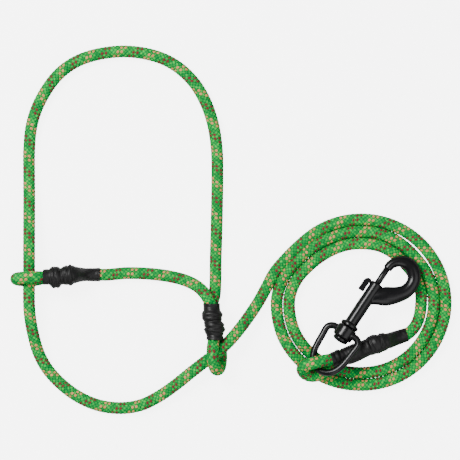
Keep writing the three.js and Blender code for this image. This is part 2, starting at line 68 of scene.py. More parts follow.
# a piece with no body of its own is left unattached
def newPiece(name, verts, faces, body, stands):
    mesh = bpy.data.meshes.new(name)
    mesh.from_pydata([tuple(v) for v in verts], [], faces)
    mesh.update()
    mesh.polygons.foreach_set("use_smooth", [True] * len(mesh.polygons))
    piece = intoScene(bpy.data.objects.new(name, mesh))
    if body:
        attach(piece, body)
    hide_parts(*stands)
    return piece


def turnAngles(count):
    return np.arange(count) / count * 2 * math.pi


# quads between loops of points, with a flat face at each end
def ringFaces(rows, around, closeEnds=True):
    row = np.arange(rows - 1)[:, None]
    turn = np.arange(around)[None, :]
    following = (turn + 1) % around
    quads = np.stack([
        row * around + turn,
        row * around + following,
        (row + 1) * around + following,
        (row + 1) * around + turn,
    ], axis=-1).reshape(-1, 4).tolist()
    if closeEnds:
        quads.append(list(range(around))[::-1])
        quads.append([(rows - 1) * around + k for k in range(around)])
    return quads


# the same for a hoop, whose last loop meets its first
def hoopFaces(rows, around):
    lastLoop = (rows - 1) * around
    closing = [(lastLoop + k, lastLoop + (k + 1) % around, (k + 1) % around, k) for k in range(around)]
    return ringFaces(rows, around, closeEnds=False) + closing


def unit(vectors):
    return vectors / np.linalg.norm(vectors, axis=-1, keepdims=True)


# one smooth curve through the points, at even steps; also where each point falls on it
def smoothCurve(points, step):
    p = np.array(points, float)
    p = np.vstack([2 * p[0] - p[1], p, 2 * p[-1] - p[-2]])
    knots = np.concatenate([[0], np.cumsum(np.sqrt(np.linalg.norm(np.diff(p, axis=0), axis=1)))])
    fine = []
    perSpan = 60
    for k in range(1, len(p) - 2):
        t = np.linspace(knots[k], knots[k + 1], perSpan, endpoint=False)[:, None]
        t0, t1, t2, t3 = knots[k - 1:k + 3]
        a1 = (t1 - t) / (t1 - t0) * p[k - 1] + (t - t0) / (t1 - t0) * p[k]
        a2 = (t2 - t) / (t2 - t1) * p[k] + (t - t1) / (t2 - t1) * p[k + 1]
        a3 = (t3 - t) / (t3 - t2) * p[k + 1] + (t - t2) / (t3 - t2) * p[k + 2]
        b1 = (t2 - t) / (t2 - t0) * a1 + (t - t0) / (t2 - t0) * a2
        b2 = (t3 - t) / (t3 - t1) * a2 + (t - t1) / (t3 - t1) * a3
        fine.append((t2 - t) / (t2 - t1) * b1 + (t - t1) / (t2 - t1) * b2)
    fine = np.vstack(fine + [p[-2:-1]])
    lengths = np.concatenate([[0], np.cumsum(np.linalg.norm(np.diff(fine, axis=0), axis=1))])
    count = int(round(lengths[-1] / step)) + 1
    even = np.linspace(0, lengths[-1], count)
    line = np.stack([np.interp(even, lengths, fine[:, k]) for k in range(3)], axis=1)
    places = [int(round(lengths[k * perSpan] / lengths[-1] * (count - 1))) for k in range(len(points))]
    return line, even, places


# which way is up and which is sideways all along a line, carried on without twisting about it
def carriedFrames(line):
    along = unit(np.gradient(line, axis=0))
    up = np.zeros_like(line)
    now = np.array((0, 0, 1), float)
    for k in range(len(line)):
        now = now - along[k] * now.dot(along[k])
        now /= np.linalg.norm(now)
        up[k] = now
    return up, np.cross(along, up)


# the rope: one route from its cut end in the left clamp to the end in the snap's clamp

rope = {"radius": 4.75, "eyeReach": 10.4, "cheekX": -73.6, "step": 0.78, "around": 64}
low = 8.45  # height of the lower strand in a clamp
high = 18.25  # and of the upper one
laid = 4.8  # rope lying on the ground
reach = rope["eyeReach"]
cheekX = rope["cheekX"]
threaded = rope["radius"] + reach
stretches = {
    "leftEye": [
        (-35.2, -37.7, high), (-56.5, -38.6, high), (-62.1, -38.7, high + 2.6),
        (-67.5, -38.6, threaded + reach - 0.9), (cheekX, -38.6, threaded + reach),
        (cheekX - 0.7 * reach, -39.2, threaded + 0.714 * reach), (cheekX - reach, -40.2, threaded),
        (cheekX - 0.7 * reach, -41.2, threaded - 0.714 * reach), (cheekX, -41.6, laid + 0.1),
        (-67.5, -40.9, laid + 0.7), (-62.1, -39.6, 6.8), (-56.5, -38.6, low), (-35.2, -37.7, low),
        (-29, -37.1, 6.8), (-22, -36.8, 6), (-15.8, -36.8, 6),
    ],
    "noseband": [
        (-9.5, -36.8, 6), (-2, -36.1, laid + 0.1), (6, -35.5, laid), (22, -35.9, laid),
        (40, -38, laid + 0.7), (54.6, -41.7, 8), (64.4, -46.8, 12), (70.6, -53.2, 15.9),
        (74.3, -60.3, high - 0.6),
    ],
    "rightEye": [
        (74.7, -65, high), (76.7, -85.4, high), (77.1, -89.8, high + 0.6),
        (76.4, -95.6, threaded + reach - 2.4), (76.2, -101.6, threaded + reach),
        (76.8, -107.8, threaded + 0.84 * reach), (78.4, -112.9, threaded + 0.48 * reach),
        (80.2, -114.2, threaded), (82, -112.8, threaded - 0.48 * reach),
        (83, -107.6, threaded - 0.86 * reach), (83.2, -101.4, laid), (81.6, -95.4, laid + 0.5),
        (78.9, -89.8, low - 1.3), (78.5, -85.4, low), (76.5, -65, low), (76.1, -60.3, low - 1),
    ],
    "neck": [
        (77.8, -53.5, 6.4), (78.5, -42, 5), (78.7, -23.9, laid), (79.4, -0.2, laid),
        (79.8, 20.3, laid), (80.1, 44.1, laid), (79.5, 67.1, laid), (76.2, 87.6, laid),
        (69.9, 105.6, laid), (60.6, 120.9, laid), (46.1, 134.3, laid), (28.6, 142.4, laid),
        (4.1, 146, laid), (-20.6, 143, laid), (-38.1, 136.2, laid), (-52.2, 124.8, laid),
        (-65.6, 104.2, laid), (-71.9, 85.8, laid), (-74, 66, laid), (-74.1, 46, laid),
        (-73.9, 28, 7), (-73.7, 9, 11.6), (cheekX, -7, 14.5), (cheekX, -17, threaded),
        (cheekX, -38.6, threaded), (cheekX, -60, threaded), (-73, -69.5, 14.5),
        (-70.6, -84.5, 11.6), (-65.8, -101.6, 7.4), (-58.6, -114.6, laid + 0.5),
        (-47.7, -126.4, laid), (-33.2, -137, laid), (-16.4, -143.9, laid), (1.5, -146, laid),
        (17.5, -143.5, laid), (31.7, -136.7, laid + 0.6), (46.1, -126.7, 8.2),
        (58.4, -116.7, 11.8), (69, -108.4, 14.4), (79.7, -100.4, threaded), (85.6, -95, 15),
    ],
    "lead": [
        (90.1, -90.6, 14.2), (98.6, -80.6, 12), (107, -69.2, 8.2), (113.8, -58.9, laid + 0.5),
        (120.6, -46.6, laid), (127.9, -33.5, laid),
    ],
}

# the flat spiral: its outer lap's radius by angle clockwise from the top, and how far inside that each lap lies
coil = {
    "centre": (197.4, -59.7), "from": -40, "to": 800, "step": 15,
    "angles": [-40, 0, 90, 180, 250, 276, 290, 304, 317, 331, 360],
    "radii": [68.2, 68.1, 69.7, 67.3, 69.4, 68.4, 65.8, 62.4, 60.2, 58.9, 58.2],
    "inwardAngles": [0, 20, 33, 47, 61, 73, 100, 170, 200, 228, 262, 300, 335, 360],
    "inward": [
        [0] * 14,
        [9.8, 9.75, 10.3, 11, 10.4, 9.75, 9.7, 9.95, 9.8, 10.1, 10.15, 10.15, 9.8, 9.8],
        [19.7, 19.5, 20, 20.7, 20.1, 19.5, 19.4, 19.5, 19.5, 19.5, 19.5, 19.5, 19.5, 19.5],
    ],
}


def onCoil(degrees):
    lap = max(0, math.floor(degrees / 360))
    turned = degrees - 360 * lap
    radius = np.interp(turned, coil["angles"], coil["radii"])
    radius -= np.interp(turned, coil["inwardAngles"], coil["inward"][lap])
    angle = math.radians(90 - degrees)
    return (coil["centre"][0] + radius * math.cos(angle), coil["centre"][1] + radius * math.sin(angle), laid)


for degrees in range(coil["from"], coil["to"] + 1, coil["step"]):
    stretches["lead"].append(onCoil(degrees))

clamp = {"right": (235.1, -86.7), "left": (172.4, -105.8)}
clampRun = np.array(clamp["left"]) - np.array(clamp["right"])
clampSide = np.array([clampRun[1], -clampRun[0]]) / np.linalg.norm(clampRun)


def inClamp(share, side, z):
    x, y = np.array(clamp["right"]) + clampRun * share + clampSide * side
    return (x, y, z)


stretches["lead"] += [(245.6, -70, laid), (241.8, -79.2, laid + 0.5), inClamp(0, 0.9, 6)]
stretches["snapBight"] = [
    inClamp(0.12, 0.9, 6.2), inClamp(0.28, -0.2, low), inClamp(0.4, -0.5, low),
    inClamp(0.52, -0.5, 7), inClamp(0.64, -0.5, low), inClamp(0.79, -0.5, low),
    inClamp(0.955, -1, low + 3.3), (171.4, -108.6, 14.1), (167.4, -114.2, 14.9),
    (162.4, -118.4, 14.8), (156.4, -119.3, 15.2), (151.4, -117.2, 17.6), (149.4, -113.6, 21.6),
    (151.6, -110.4, 25.8), (157, -108.6, 27.9), (164.2, -107, 27.3),
    inClamp(0.955, 0, high + 3.6), inClamp(0.79, 0.5, high), inClamp(0.64, 0.5, high),
    inClamp(0.52, 0.5, 17), inClamp(0.4, 0.5, high), inClamp(0.25, 0.5, high),
]

routePoints = [point for points in stretches.values() for point in points]
line, along, places = smoothCurve(routePoints, rope["step"])
upward, sideways = carriedFrames(line)
print("rope route", round(along[-1]), "mm")

# braid: yarns wound both ways round, each over one and under one; bow and draw curve a yarn across and lengthwise
braid = {"yarns": 8, "row": 3.24, "depth": 0.65, "sunk": 0.3, "phase": 0.15, "bow": 2.0, "draw": 1.35}


def braidHeight(turn, rise):
    a = turn + rise
    b = turn - rise
    i = np.floor(a)
    j = np.floor(b)
    over = np.mod(i + j, 2) < 1
    across = np.where(over, a - i, b - j) - 0.5
    lengthwise = np.where(over, b - j, a - i) - 0.5
    return np.sqrt(np.clip(1 - (braid["bow"] * across) ** 2 - (braid["draw"] * lengthwise) ** 2, 0, 1))


def addRope(name, first, last, body, stands):
    around = rope["around"]
    rows = slice(first, last + 1)
    turn = (np.arange(around) / around * braid["yarns"])[None, :]
    rise = (along[rows] / braid["row"] + braid["phase"])[:, None]
    radius = rope["radius"] - braid["sunk"] + braid["depth"] * braidHeight(turn, rise)
    angle = turn / braid["yarns"] * 2 * math.pi
    out = (
        upward[rows][:, None, :] * np.cos(angle)[..., None]
        + sideways[rows][:, None, :] * np.sin(angle)[..., None]
    )
    verts = (line[rows][:, None, :] + out * radius[..., None]).reshape(-1, 3) * mm
    count = last + 1 - first
    piece = newPiece(name, verts, ringFaces(count, around), body, stands)
    addRopeUv(piece.data, count, around, rise[:, 0])
    return piece


# the braid's own coordinates, and a sheet of side by side strips to bake on
def addRopeUv(mesh, rows, around, rise):
    stripRows = max(12, int(math.sqrt(rows * around * 0.8)))
    strips = math.ceil((rows - 1) / stripRows)
    row = np.repeat(np.arange(rows - 1), around)
    turn = np.tile(np.arange(around), rows - 1)
    corners = [(0, 0), (0, 1), (1, 1), (1, 0)]
    lay = np.zeros((len(row), 4, 2))
    bake = np.zeros((len(row), 4, 2))
    strip = row // stripRows
    for k, (dRow, dTurn) in enumerate(corners):
        lay[:, k, 0] = (turn + dTurn) / around * braid["yarns"]
        lay[:, k, 1] = rise[row + dRow]
        bake[:, k, 0] = 0.004 + 0.992 * (row - strip * stripRows + dRow) / stripRows
        bake[:, k, 1] = (strip + 0.02 + 0.96 * (turn + dTurn) / around) / strips
    capLoops = 2 * around
    for label, values in (("OFBake", bake), ("lay", lay)):
        layer = mesh.uv_layers.new(name=label)
        flat = np.concatenate([values.reshape(-1), np.full(capLoops * 2, 0.001)])
        layer.data.foreach_set("uv", flat)


# each stretch starts on the row where the one before it ends
cuts = {}
lastPoint = -1
for name, points in stretches.items():
    begin = 0 if lastPoint < 0 else places[lastPoint]
    lastPoint += len(points)
    cuts[name] = (begin, places[lastPoint])

neck = addRope("neckRope", *cuts["neck"], "halter",
               ["right_cheek_rope", "crown_rope", "left_cheek_rope", "chin_rope"])
noseband = addRope("nosebandRope", *cuts["noseband"], None, ["noseband_rope"])
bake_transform(noseband)
leftEye = addRope("leftEyeRope", *cuts["leftEye"], "left_eye", ["left_eye_rope"])
rightEye = addRope("rightEyeRope", *cuts["rightEye"], "halter", ["right_eye_rope"])
lead = addRope("leadRope", *cuts["lead"], "halter", ["lead_rope", "lead_coil", "lead_end_rope"])
snapBight = addRope("snapBightRope", *cuts["snapBight"], "halter", ["snap_loop_rope"])
print("rope pieces made")


# heat-shrink sleeves: rows of [along, one edge, other edge, underside, top], creases where the tube bites

sleeves = {
    "left": {
        "body": "left_eye", "stands": "left_shrink_sleeve", "start": (0, 0), "run": (1, 0), "side": (0, 1),
        "rows": [
            [-61.9, -44.9, -32.3, 0.7, 27.2], [-59.6, -44.9, -32.1, 0.7, 26.6], [-57.2, -45.2, -31.8, 0.5, 26.4],
            [-55.6, -46.9, -30.3, 0.1, 26.9], [-53.9, -48.1, -29.6, 0.1, 27], [-51.5, -47.6, -29.6, 0.1, 26.8],
            [-49.8, -47.9, -30, 0.1, 26.9], [-48.6, -47.1, -30.7, 0.2, 26.4], [-47.3, -45.4, -30.9, 0.5, 25.7],
            [-45.7, -44.9, -29.8, 0.5, 26.1], [-43.6, -45.2, -28.8, 0.1, 26.8], [-42, -45.4, -28.9, 0.1, 26.4],
            [-40, -46, -27.9, 0.1, 27], [-38.3, -45.2, -28.8, 0.1, 26.6], [-35.9, -43.8, -29.9, 0.7, 25],
            [-33.4, -42.9, -30.4, 0.9, 22.9], [-30.5, -42.4, -31, 0.3, 18.6], [-27.7, -42.1, -31.4, 0.2, 15],
            [-24.4, -42.2, -31.3, 0.1, 12.7], [-20.3, -42.3, -31.2, 0.1, 12], [-15.9, -42.4, -31, 0.1, 12.1],
        ],
        "creases": [
            (-57.6, 0.5), (-54.6, 0.6), (-51.6, 0.7), (-47.8, 0.6), (-45.2, 0.5), (-41.9, 0.7), (-37.9, 0.6),
        ],
    },
    "right": {
        "body": "halter", "stands": "right_shrink_sleeve", "start": (0, 0), "run": (0, -1), "side": (1, 0),
        "rows": [
            [60.2, 68.3, 82.3, 1.2, 24.7], [63, 68.7, 82.3, 1.2, 24.6], [65.4, 68.6, 82.6, 0.8, 25.3],
            [67, 67.8, 83.4, 0.2, 26.5], [69, 66.7, 84.7, 0.1, 27], [70.6, 67.4, 84.2, 0.1, 26.5],
            [72.3, 67.3, 84, 0.1, 26.8], [74.8, 68.8, 84, 0.9, 25.3], [77.4, 69.3, 86.2, 0.1, 26.8],
            [79.6, 69.4, 86.1, 0.1, 26.4], [81.5, 68.6, 86.8, 0.1, 27], [83.8, 69.8, 85.6, 0.4, 26],
            [85.9, 70.9, 84.9, 0.6, 25.4], [89.8, 71.2, 85.3, 0.5, 26],
        ],
        "creases": [(66, 0.4), (70.4, 0.7), (74.6, 0.6), (79.4, 0.7), (83.3, 0.5), (86.6, 0.35)],
    },
    "snap": {
        "body": "halter", "stands": "snap_shrink_sleeve", "start": clamp["right"],
        "run": clampRun / np.linalg.norm(clampRun), "side": clampSide,
        "rows": [
            [-0.4, -4.8, 6.5, 0.3, 12.1], [4, -5, 6.7, 0.1, 12.6], [8.4, -5.2, 6.8, 0.1, 14.6],
            [13, -5.6, 6.8, 0.3, 20.4], [15.6, -5.8, 7, 0.9, 24.4], [17.6, -6, 8.2, 0.6, 25.4],
            [20.4, -6.4, 9, 0.1, 26.7], [22.6, -6.8, 8.4, 0.1, 26.1], [25, -7.3, 8.9, 0.1, 27],
            [27.6, -7, 9.3, 0.1, 26.8], [31, -6.7, 9, 0.2, 26.3], [33.8, -6.7, 7.5, 0.7, 24.2],
            [38, -7.2, 7, 0.6, 24.6], [41, -7.9, 7, 0.1, 26.3], [45.2, -8.4, 6.8, 0.1, 26.7],
            [49.4, -8.7, 6.4, 0.9, 26.1], [53, -8.5, 5.9, 2, 26], [56.4, -7.8, 5.7, 3, 26.6],
            [58.6, -7.4, 6.3, 3.9, 27.7], [61.4, -7, 5.7, 5.3, 28.1], [64.6, -6.9, 5.3, 7.2, 28.9],
        ],
        "creases": [
            (16.6, 0.5), (18.9, 0.6), (22.6, 0.7), (24.2, 0.4), (29.2, 0.6), (33.2, 0.5), (57, 0.6), (60.2, 0.7),
        ],
    },
}
tube = {
    "around": 84, "step": 0.3, "wall": 0.75, "round": 6.7, "creaseWidth": 0.75, "smooth": 0.55,
    "insideLoops": 30, "knobs": 0.1,
}


def softened(values, spread):
    offsets = np.arange(-int(3 * spread) - 1, int(3 * spread) + 2)
    kernel = np.exp(-0.5 * (offsets / spread) ** 2)
    padded = np.pad(values, len(offsets) // 2, mode="edge")
    return np.convolve(padded, kernel / kernel.sum(), mode="valid")


# a loop of the sleeve at each station: upright sides between the strands, rounded above and below
def sleeveLoops(spec, station, inward):
    table = np.array(spec["rows"], float)
    steps = np.arange(table[0, 0], table[-1, 0], tube["step"])
    spread = tube["smooth"] / tube["step"]
    smooth = [softened(np.interp(steps, table[:, 0], table[:, k]), spread) for k in (1, 2, 3, 4)]
    edgeA, edgeB, under, top = [np.interp(station, steps, values)[:, None] for values in smooth]
    turn = turnAngles(tube["around"])[None, :]
    dip = np.zeros((len(station), 1))
    for k, (place, depth) in enumerate(spec["creases"]):
        lean = 0.9 * np.sin(turn + 1.9 * k) + 0.35 * np.sin(3 * turn + k)
        bite = depth * (0.75 + 0.25 * np.cos(2 * turn + 2.3 * k))
        dip = dip + bite * np.exp(-(((station[:, None] - place - lean) / tube["creaseWidth"]) ** 2))
    knobs = tube["knobs"] * np.sin(5 * turn + station[:, None] * 0.9) * np.sin(station[:, None] * 1.35)
    wide = (edgeB - edgeA) / 2 - inward - dip + knobs
    height = (top - under) / 2
    rounding = np.minimum(tube["round"], height)
    upright = height - rounding
    rounding = rounding - inward - dip + knobs
    across = (edgeA + edgeB) / 2 + wide * np.cos(turn)
    up = (top + under) / 2 + upright * np.clip(np.sin(turn) * 2.2, -1, 1) + rounding * np.sin(turn)
    run, side, start = (np.array(spec[key], float) for key in ("run", "side", "start"))
    flat = start + run * station[:, None, None] + side * across[..., None]
    return np.concatenate([flat, np.maximum(up, 0.05)[..., None]], axis=2)


def addSleeve(name):
    spec = sleeves[name]
    first, last = spec["rows"][0][0], spec["rows"][-1][0]
    outer = sleeveLoops(spec, np.arange(first, last + 0.01, tube["step"]), 0.0)
    inner = sleeveLoops(spec, np.linspace(last, first, tube["insideLoops"]), tube["wall"])
    verts = np.concatenate([outer, inner]).reshape(-1, 3) * mm
    faces = hoopFaces(len(outer) + len(inner), tube["around"])
    return newPiece(name + "Sleeve", verts, faces, spec["body"], [spec["stands"]])


sleevePieces = [addSleeve(name) for name in sleeves]
print("sleeves made")


# crimped rings under the sleeves: body, centre at the low strand, at the high strand, and the way the ring runs

crimps = {
    "left_outer_crimp_ring": ("left_eye", (-52.5, -38.6, low), (-52.5, -38.6, high), (1, 0)),
    "left_inner_crimp_ring": ("left_eye", (-40.9, -37.5, low), (-40.9, -37.5, high), (1, 0)),
    "right_upper_crimp_ring": ("halter", (76.6, -69.7, low), (75, -69.7, high), (0, -1)),
    "right_lower_crimp_ring": ("halter", (78, -80.2, low), (77, -80.2, high), (0, -1)),
    "snap_outer_crimp_ring": ("halter", inClamp(0.38, 0.4, low), inClamp(0.38, 1.2, high), clampRun),
    "snap_inner_crimp_ring": ("halter", inClamp(0.69, -0.9, low), inClamp(0.69, 0.1, high), clampRun),
}
crimp = {"bore": 5.15, "wall": 1.3, "half": 2.9, "round": 0.6, "around": 64}


def addCrimp(name, body, lowAt, highAt, run):
    a, b = np.array(lowAt, float), np.array(highAt, float)
    along = unit(np.array([*run, 0.0]))
    up = unit(b - a)
    side = np.cross(along, up)
    middle = (a + b) / 2
    half = np.linalg.norm(b - a) / 2
    inner, outer = crimp["bore"], crimp["bore"] + crimp["wall"]
    edge, bevel, around = crimp["half"], crimp["round"], crimp["around"]
    profile = [(-edge, inner), (-edge, outer - bevel), (-edge + 0.2, outer - 0.2), (-edge + bevel, outer),
               (-0.5, outer), (0, outer - 0.25), (0.5, outer),
               (edge - bevel, outer), (edge - 0.2, outer - 0.2), (edge, outer - bevel), (edge, inner)]
    turn = turnAngles(around)
    loops = [
        middle + along * s + side * (radius * np.cos(turn))[:, None]
        + up * (radius * np.sin(turn) + half * np.clip(np.sin(turn) * 6, -1, 1))[:, None]
        for s, radius in profile
    ]
    faces = hoopFaces(len(profile), around)
    label = "".join(word if k == 0 else word.capitalize() for k, word in enumerate(name.split("_")))
    return newPiece(label, np.vstack(loops) * mm, faces, body, [name])


crimpPieces = [addCrimp(name, *spec) for name, spec in crimps.items()]
print("crimp rings made")


# bolt snap, in its own lines: along from the collar behind the barrel to the nose, left, up

snap = {
    "place": (187.8, -78, 20.2), "yaw": 56.3, "nose": 4.7, "eyeRoll": 30, "voxel": 0.27, "bore": 2.9,
    # from the barrel round to the tip: along, out to the right, half width, half thickness
    "hook": [
        (24, 0.6, 3.6, 3.6), (27.5, 2.6, 5, 4.1), (31.5, 6, 6.9, 4.7), (36, 11.2, 7.8, 5), (41.8, 17.9, 6.9, 4.9),
        (48, 22.6, 6.1, 4.8), (54.3, 24.2, 5.6, 4.7), (59.9, 23.5, 5.3, 4.6), (64.2, 20.8, 5.3, 4.6),
        (67.7, 16.4, 5.5, 4.6), (68.7, 10.6, 5.5, 4.5), (66.6, 5.4, 4.9, 4.3), (63.2, 2.2, 4.2, 4.1),
        (59.6, 0.6, 3.7, 3.8), (55.8, 0.2, 3.4, 3.5),
    ],
    "hookExtra": (0.25, 0.1),  # added to those half widths and thicknesses
    # profiles turned about the snap's line: along, radius
    "barrel": [
        (-1.6, 0), (-1.6, 7), (-0.8, 7.7), (0.8, 7.7), (1.6, 7), (2.2, 5.3), (6, 5.3), (40, 5.5), (41.2, 4.9),
        (41.2, 0),
    ],
    "barrelBore": (5, 42.5), "tipBore": (54, 58),
    "slot": [(24.2, 1.5), (40.9, 1.5), (40.9, 9), (24.2, 9)], "slotHalf": 1.6,
    "boss": [(-12.1, 0), (-12.1, 7.3), (-11.1, 8.3), (-2.9, 8.3), (-1.9, 7.3), (-1.9, 0)], "bossBore": (-13, -1),
    "rivet": [
        (-15.8, 0), (-15.75, 3), (-15.4, 4.7), (-14.8, 5.9), (-13.9, 6.5), (-12.8, 6.5), (-12.3, 6.1), (-12.3, 2.6),
        (3.5, 2.6), (3.5, 0),
    ],
    "rod": [
        (28, 0), (28, 2), (28.3, 2.2), (41, 2.2), (41.6, 2.6), (57, 2.6), (57.7, 1.9), (57.7, 0),
    ],
    # half of the eye's wire, from the boss to its far end, and the wire's half width and thickness
    "wire": [(-7, 5), (-6.6, 12), (-9.6, 16.2), (-18, 16.2), (-33, 14.2), (-40, 10), (-43.6, 3.6)],
    "wireSize": (2.85, 2.7),
    # the thumb tab's side view, ribbed on top, and the stem that goes down to the rod
    "tab": [
        (41.1, 5.9), (41.2, 7.7), (40.5, 9.3), (39.4, 10.4), (37.8, 10.9), (36.7, 11), (36.4, 10.4), (35.9, 10.4),
        (35.6, 11), (35.1, 11), (34.8, 10.4), (34.4, 10.4), (34.1, 11), (33.6, 11), (33.3, 10.4), (32.9, 10.4),
        (32.6, 11), (32.1, 11), (31.8, 10.4), (31.4, 10.4), (31.1, 11), (30.2, 11), (29.4, 10.4), (29.2, 9.6),
        (29.2, 6.7), (29.6, 6), (30.4, 5.9), (34.4, 6.1), (35.6, 5.9),
    ],
    "tabHalf": 3.3, "stem": [(38, 1.2), (40.4, 1.2), (40.4, 6.4), (38, 6.4)], "stemHalf": 1.25, "tabVoxel": 0.16,
}
yaw, nose, roll = (math.radians(snap[key]) for key in ("yaw", "nose", "eyeRoll"))
snapTurn = np.array([[math.cos(yaw), -math.sin(yaw), 0], [math.sin(yaw), math.cos(yaw), 0], [0, 0, 1]]) @ np.array(
    [[math.cos(nose), 0, math.sin(nose)], [0, 1, 0], [-math.sin(nose), 0, math.cos(nose)]])
eyeTurn = np.array([[1, 0, 0], [0, math.cos(roll), math.sin(roll)], [0, -math.sin(roll), math.cos(roll)]])


def turnedSolid(profile, around=56):
    turn = turnAngles(around)
    loops = [np.column_stack([np.full(around, x), max(y, 1e-3) * np.cos(turn), max(y, 1e-3) * np.sin(turn)])
             for x, y in profile]
    return np.vstack(loops), ringFaces(len(loops), around)


def boreSolid(span):
    return turnedSolid([(span[0], 0), (span[0], snap["bore"]), (span[1], snap["bore"]), (span[1], 0)])


def sweptSolid(points, wide, thick, around=28, step=0.8):
    path = smoothCurve(points, step)[0]
    knots = np.linspace(0, 1, len(wide))
    share = np.linspace(0, 1, len(path))
    along = unit(np.gradient(path, axis=0))
    out = unit(np.cross(along, (0, 0, 1.0)))
    turn = turnAngles(around)
    halfWide = softened(np.interp(share, knots, wide), 2)
    halfThick = softened(np.interp(share, knots, thick), 2)
    sideways = out[:, None, :] * (halfWide[:, None] * np.cos(turn))[..., None]
    upright = np.array((0, 0, 1.0)) * (halfThick[:, None] * np.sin(turn))[..., None]
    loops = path[:, None, :] + sideways + upright
    return loops.reshape(-1, 3), ringFaces(len(path), around)


# a flat outline given thickness both ways
def raisedSolid(outline, half):
    count = len(outline)
    verts = [(x, y, z) for z in (-half, half) for x, y in outline]
    faces = [tuple(range(count))[::-1], tuple(range(count, 2 * count))]
    faces += [(k, (k + 1) % count, (k + 1) % count + count, k + count) for k in range(count)]
    return np.array(verts, float), faces


# solids joined and cut, then skinned over finely and eased, as a casting comes out of its mould
def cast(solids, cutters, voxel, ease):
    made = []
    for verts, faces in solids + cutters:
        mesh = bpy.data.meshes.new("blank")
        mesh.from_pydata([tuple(v) for v in verts], [], faces)
        made.append(intoScene(bpy.data.objects.new("blank", mesh)))
    base = made[0]
    for k, blank in enumerate(made[1:], 1):
        joint = base.modifiers.new("joint", "BOOLEAN")
        joint.operation = "UNION" if k < len(solids) else "DIFFERENCE"
        joint.object = blank
    skin = base.modifiers.new("skin", "REMESH")
    skin.mode = "VOXEL"
    skin.voxel_size = voxel
    eased = base.modifiers.new("eased", "SMOOTH")
    eased.factor = 0.5
    eased.iterations = ease
    bpy.context.view_layer.update()
    shaped = base.evaluated_get(bpy.context.evaluated_depsgraph_get()).to_mesh()
    verts = np.empty(len(shaped.vertices) * 3)
    shaped.vertices.foreach_get("co", verts)
    faces = [tuple(face.vertices) for face in shaped.polygons]
    for blank in made:
        mesh = blank.data
        bpy.data.objects.remove(blank)
        bpy.data.meshes.remove(mesh)
    return verts.reshape(-1, 3), faces


def addSnapPiece(name, solid, body, stands):
    verts, faces = solid
    placed = (verts @ snapTurn.T + np.array(snap["place"])) * mm
    return newPiece(name, placed, faces, body, [stands])


extraWide, extraThick = snap["hookExtra"]
hookSolid = sweptSolid([(x, -y, 0) for x, y, _, _ in snap["hook"]],
                       [row[2] + extraWide for row in snap["hook"]], [row[3] + extraThick for row in snap["hook"]])
slotSolid = raisedSolid(snap["slot"], snap["slotHalf"])
bodySolid = cast([turnedSolid(snap["barrel"]), hookSolid],
                 [boreSolid(snap["barrelBore"]), slotSolid, boreSolid(snap["tipBore"])], snap["voxel"], 5)
snapBody = addSnapPiece("snapBody", bodySolid, "snap", "snap_body")

wirePath = [(x, y, 0) for x, y in snap["wire"]] + [(x, -y, 0) for x, y in snap["wire"][::-1]]
wireSolid = sweptSolid(wirePath, *[[size] * len(wirePath) for size in snap["wireSize"]])
eyeVerts, eyeFaces = cast([turnedSolid(snap["boss"]), wireSolid], [boreSolid(snap["bossBore"])], snap["voxel"], 4)
swivelEye = addSnapPiece("swivelEye", (eyeVerts @ eyeTurn.T, eyeFaces), "eye", "swivel_eye")

swivelRivet = addSnapPiece("swivelRivet", turnedSolid(snap["rivet"], 72), "snap", "swivel_rivet")
boltRodPiece = addSnapPiece("boltRod", turnedSolid(snap["rod"], 48), "bolt", "bolt_rod")
tabSolid = cast([raisedSolid(snap["tab"], snap["tabHalf"]), raisedSolid(snap["stem"], snap["stemHalf"])], [],
                snap["tabVoxel"], 2)
thumbTab = addSnapPiece("thumbTab", tabSolid, "bolt", "thumb_tab")
print("snap made")


# shader building: ordinary sums on sockets, and one way of making every other node

class Signal:
    def __init__(self, look, socket):
        self.look = look
        self.socket = socket

    def maths(self, operation, *values):
        return self.look.node("ShaderNodeMath", {"operation": operation}, values)

    def __add__(self, other):
        return self.maths("ADD", self, other)

    def __sub__(self, other):
        return self.maths("SUBTRACT", self, other)

    def __rsub__(self, other):
        return self.maths("SUBTRACT", other, self)

    def __mul__(self, other):
        return self.maths("MULTIPLY", self, other)

    def __mod__(self, other):
        return self.maths("FLOORED_MODULO", self, other)

    def __lt__(self, other):
        return self.maths("LESS_THAN", self, other)

    def __gt__(self, other):
        return self.maths("GREATER_THAN", self, other)

    def floor(self):
        return self.maths("FLOOR", self)

    def least(self, other):
        return self.maths("MINIMUM", self, other)

    def sine(self):
        return self.maths("SINE", self)

    def root(self):
        return self.maths("SQRT", self.maths("MAXIMUM", self, 0.0))

    __radd__ = __add__
    __rmul__ = __mul__


